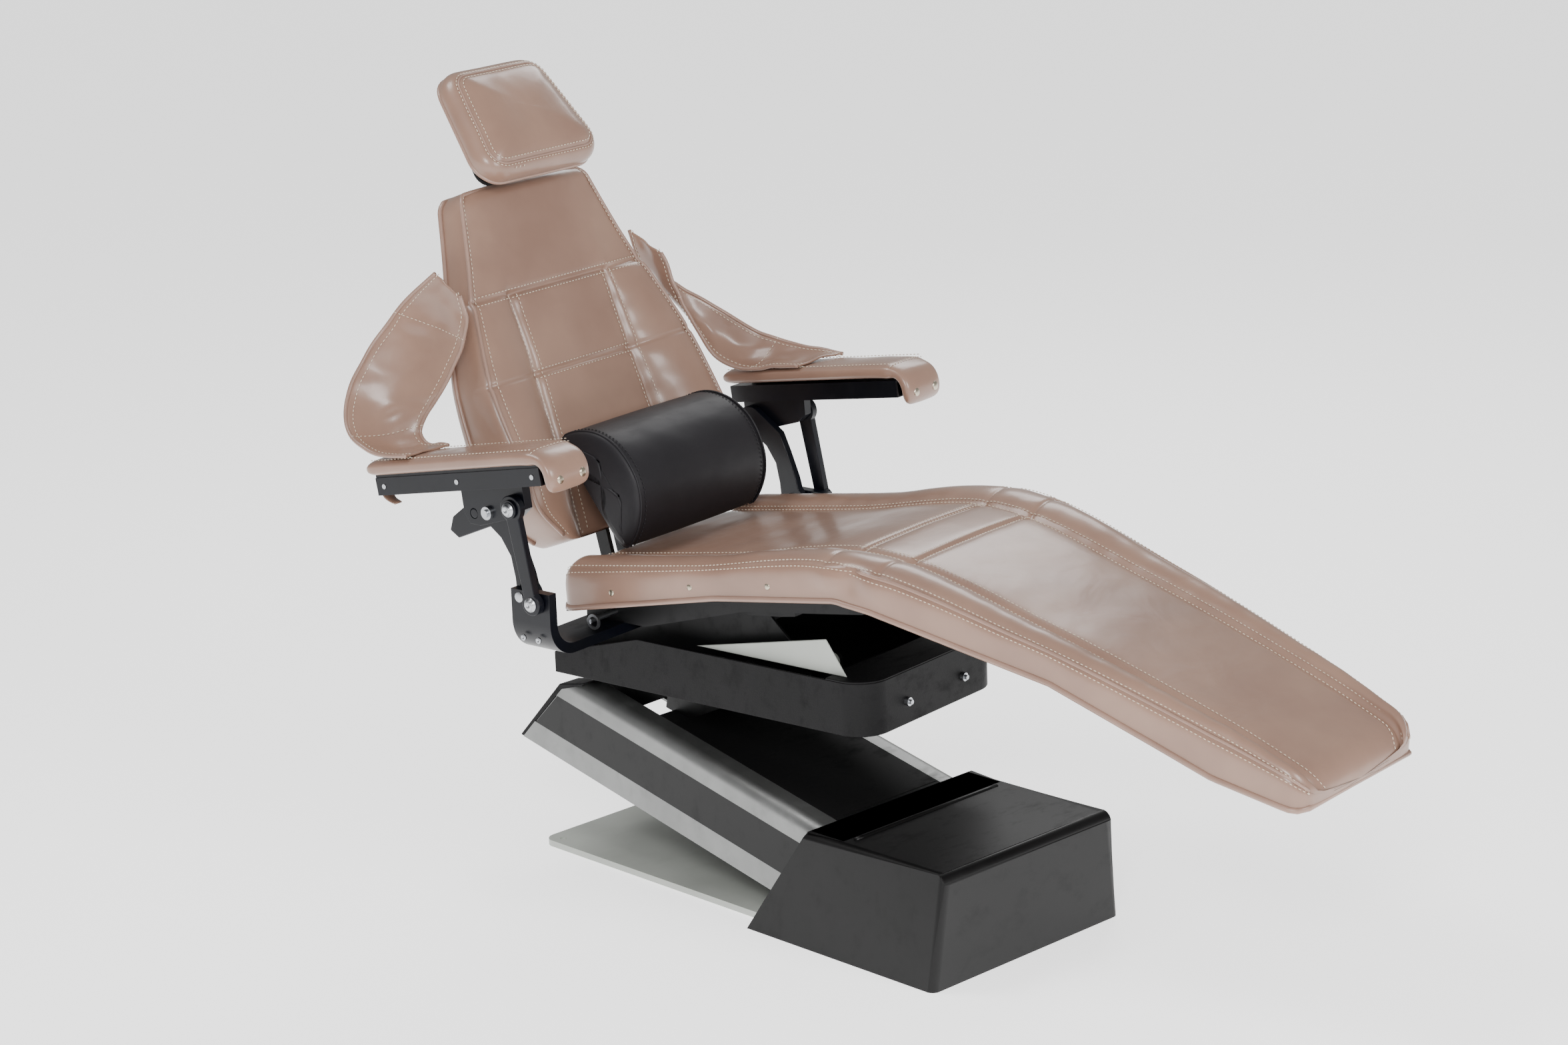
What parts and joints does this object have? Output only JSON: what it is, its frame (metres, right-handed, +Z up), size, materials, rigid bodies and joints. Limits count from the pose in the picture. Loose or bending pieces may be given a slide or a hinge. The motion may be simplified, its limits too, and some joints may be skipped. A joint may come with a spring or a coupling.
{
  "type": "dental_chair",
  "caption": "Reclining dental patient chair on a parallelogram lift arm with a swivel, linked armrests, adjustable headrest and a loose lumbar roll.",
  "frame": {"origin": "centre of the floor plate's underside, on the floor", "axes": "+X to the patient's left, +Y towards the head, +Z up; the base is square to these axes and everything above the swivel is stored turned 7.2 degrees anticlockwise from above"},
  "size_m": [0.8521, 1.6, 1.22],
  "materials": {
    "dark_steel": "satin black paint",
    "navy_steel": "semi-gloss blue-black paint",
    "textured_black_steel": "textured powder coat",
    "black_gloss_plastic": "glossy moulding",
    "black_matte_plastic": "matte moulding",
    "satin_aluminium": "satin extrusion",
    "zinc_steel": "zinc plate",
    "chrome_rod": "polished",
    "grey_painted_steel": "light grey enamel",
    "taupe_vinyl": "glossy upholstery vinyl",
    "charcoal_vinyl": "soft charcoal upholstery vinyl",
    "plywood": "bare plywood"
  },
  "bodies": {
    "base": {"floor_plate": "grey_painted_steel", "base_cover": "black_gloss_plastic", "arm_pivot_brackets": "dark_steel", "front_pivot_shaft": "zinc_steel", "pump_motor": "grey_painted_steel", "oil_reservoir": "black_matte_plastic"},
    "lift_arm": {"arm_frame": "dark_steel", "arm_side_right": "satin_aluminium", "arm_side_left": "satin_aluminium", "arm_inlay_right": "black_gloss_plastic", "arm_inlay_left": "black_gloss_plastic", "arm_end_cap_right": "black_matte_plastic", "arm_end_cap_left": "black_matte_plastic", "arm_top_cover": "black_matte_plastic", "rear_pivot_shaft": "zinc_steel"},
    "levelling_link": {"levelling_link": "dark_steel"},
    "lift_barrel": {"lift_barrel": "grey_painted_steel"},
    "lift_rod": {"lift_rod": "chrome_rod"},
    "carriage": {"carriage": "dark_steel"},
    "upper": {"swivel_ring_upper": "zinc_steel", "swivel_pan": "textured_black_steel", "front_cross_plate": "textured_black_steel", "standoff_pins": "zinc_steel", "conduit": "black_matte_plastic", "pedestal": "dark_steel", "side_panel": "grey_painted_steel", "seat_frame": "dark_steel", "seat_board": "plywood", "seat_cushion": "taupe_vinyl", "yoke": "navy_steel", "recline_pins": "zinc_steel"},
    "release_ring": {"release_ring": "zinc_steel"},
    "arm_link_right": {"arm_link_right": "navy_steel"},
    "arm_link_left": {"arm_link_left": "navy_steel"},
    "back": {"hinge_plate_right": "navy_steel", "hinge_plate_left": "navy_steel", "back_cross_tube": "dark_steel", "back_cushion": "taupe_vinyl", "back_shell": "black_matte_plastic", "back_frame": "dark_steel"},
    "recline_barrel": {"recline_barrel": "grey_painted_steel"},
    "recline_rod": {"recline_rod": "chrome_rod"},
    "headrest_post": {"headrest_post": "chrome_rod"},
    "headrest": {"headrest_bracket": "dark_steel", "headrest_shell": "black_matte_plastic", "headrest_pad": "taupe_vinyl", "headrest_hinge_pin": "zinc_steel"},
    "lumbar_roll": {"lumbar_roll": "charcoal_vinyl"},
    "armrest_right": {"rail_right": "navy_steel", "rail_screws_right": "zinc_steel", "bracket_right": "navy_steel", "latch_pin_right": "zinc_steel", "arm_pad_right": "taupe_vinyl", "arm_sling_right": "taupe_vinyl"},
    "armrest_left": {"rail_left": "navy_steel", "rail_screws_left": "zinc_steel", "bracket_left": "navy_steel", "latch_pin_left": "zinc_steel", "arm_pad_left": "taupe_vinyl", "arm_sling_left": "taupe_vinyl"}
  },
  "joints": [
    {"name": "lift", "type": "hinge", "parent": "base", "child": "lift_arm", "pos_m": [0, -0.275, 0.099], "axis": [1, 0, 0], "range_deg": [-7, 24]},
    {"name": "carriage_level", "type": "hinge", "parent": "lift_arm", "child": "carriage", "pos_m": [0, 0.35004, 0.23186], "axis": [1, 0, 0], "range_deg": [-24.5, 7.5]},
    {"name": "levelling_link_swing", "type": "hinge", "parent": "base", "child": "levelling_link", "pos_m": [0, -0.275, 0.054], "axis": [1, 0, 0], "range_deg": [-7.5, 24.5]},
    {"name": "lift_barrel_swing", "type": "hinge", "parent": "base", "child": "lift_barrel", "pos_m": [0, -0.235, 0.038], "axis": [1, 0, 0], "range_deg": [-8.05, 25.16]},
    {"name": "lift_stroke", "type": "slide", "parent": "lift_barrel", "child": "lift_rod", "axis": [0, 0.9208, 0.3901], "range_m": [-0.0109, 0.0324]},
    {"name": "swivel", "type": "hinge", "parent": "carriage", "child": "upper", "pos_m": [0, 0.25, 0.3], "axis": [0, 0, 1], "range_deg": [-37, 23]},
    {"name": "release_pull", "type": "slide", "parent": "upper", "child": "release_ring", "axis": [-0.9921, -0.1253, 0], "range_m": [0, 0.012], "stiffness_N_per_m": 400},
    {"name": "recline", "type": "hinge", "parent": "upper", "child": "back", "pos_m": [-0.00501, 0.28969, 0.486], "axis": [0.9921, 0.1253, 0], "range_deg": [-55, 4]},
    {"name": "recline_barrel_swing", "type": "hinge", "parent": "upper", "child": "recline_barrel", "pos_m": [0.03384, -0.01787, 0.345], "axis": [0.9921, 0.1253, 0], "range_deg": [-7.09, 1.44]},
    {"name": "recline_stroke", "type": "slide", "parent": "recline_barrel", "child": "recline_rod", "axis": [-0.1245, 0.9856, 0.1142], "range_m": [-0.1181, 0.0104]},
    {"name": "link_right_swing", "type": "hinge", "parent": "upper", "child": "arm_link_right", "pos_m": [-0.00063, 0.25496, 0.483], "axis": [0.9921, 0.1253, 0], "range_deg": [-48, 4]},
    {"name": "link_left_swing", "type": "hinge", "parent": "upper", "child": "arm_link_left", "pos_m": [-0.00063, 0.25496, 0.483], "axis": [0.9921, 0.1253, 0], "range_deg": [-48, 4]},
    {"name": "armrest_right_tilt", "type": "hinge", "parent": "back", "child": "armrest_right", "pos_m": [-0.01529, 0.37104, 0.603], "axis": [0.9921, 0.1253, 0], "range_deg": [-1.5, 17]},
    {"name": "armrest_left_tilt", "type": "hinge", "parent": "back", "child": "armrest_left", "pos_m": [-0.01529, 0.37104, 0.603], "axis": [0.9921, 0.1253, 0], "range_deg": [-1.5, 17]},
    {"name": "headrest_height", "type": "slide", "parent": "back", "child": "headrest_post", "axis": [-0.0449, 0.3555, 0.9336], "range_m": [0, 0.08]},
    {"name": "headrest_tilt", "type": "hinge", "parent": "headrest_post", "child": "headrest", "pos_m": [-0.04767, 0.62731, 1.08352], "axis": [0.9921, 0.1253, 0], "range_deg": [-20, 6]},
    {"name": "lumbar_roll_lift_off", "type": "slide", "parent": "upper", "child": "lumbar_roll", "axis": [0.0752, -0.5953, 0.8], "range_m": [0, 0.12]}
  ],
  "couplings": [
    {"joint": "carriage_level", "follows": "lift", "ratio": -1},
    {"joint": "levelling_link_swing", "follows": "lift", "ratio": 1},
    {"joint": "lift_barrel_swing", "follows": "lift", "ratio": 1.0068},
    {"joint": "lift_stroke", "follows": "lift", "m_per_rad": 0.072507},
    {"joint": "recline_barrel_swing", "follows": "recline", "ratio": 0.11081},
    {"joint": "recline_stroke", "follows": "recline", "m_per_rad": 0.12092},
    {"joint": "link_right_swing", "follows": "recline", "ratio": 0.86},
    {"joint": "link_left_swing", "follows": "recline", "ratio": 0.86},
    {"joint": "armrest_right_tilt", "follows": "recline", "ratio": -0.3},
    {"joint": "armrest_left_tilt", "follows": "recline", "ratio": -0.3}
  ]
}
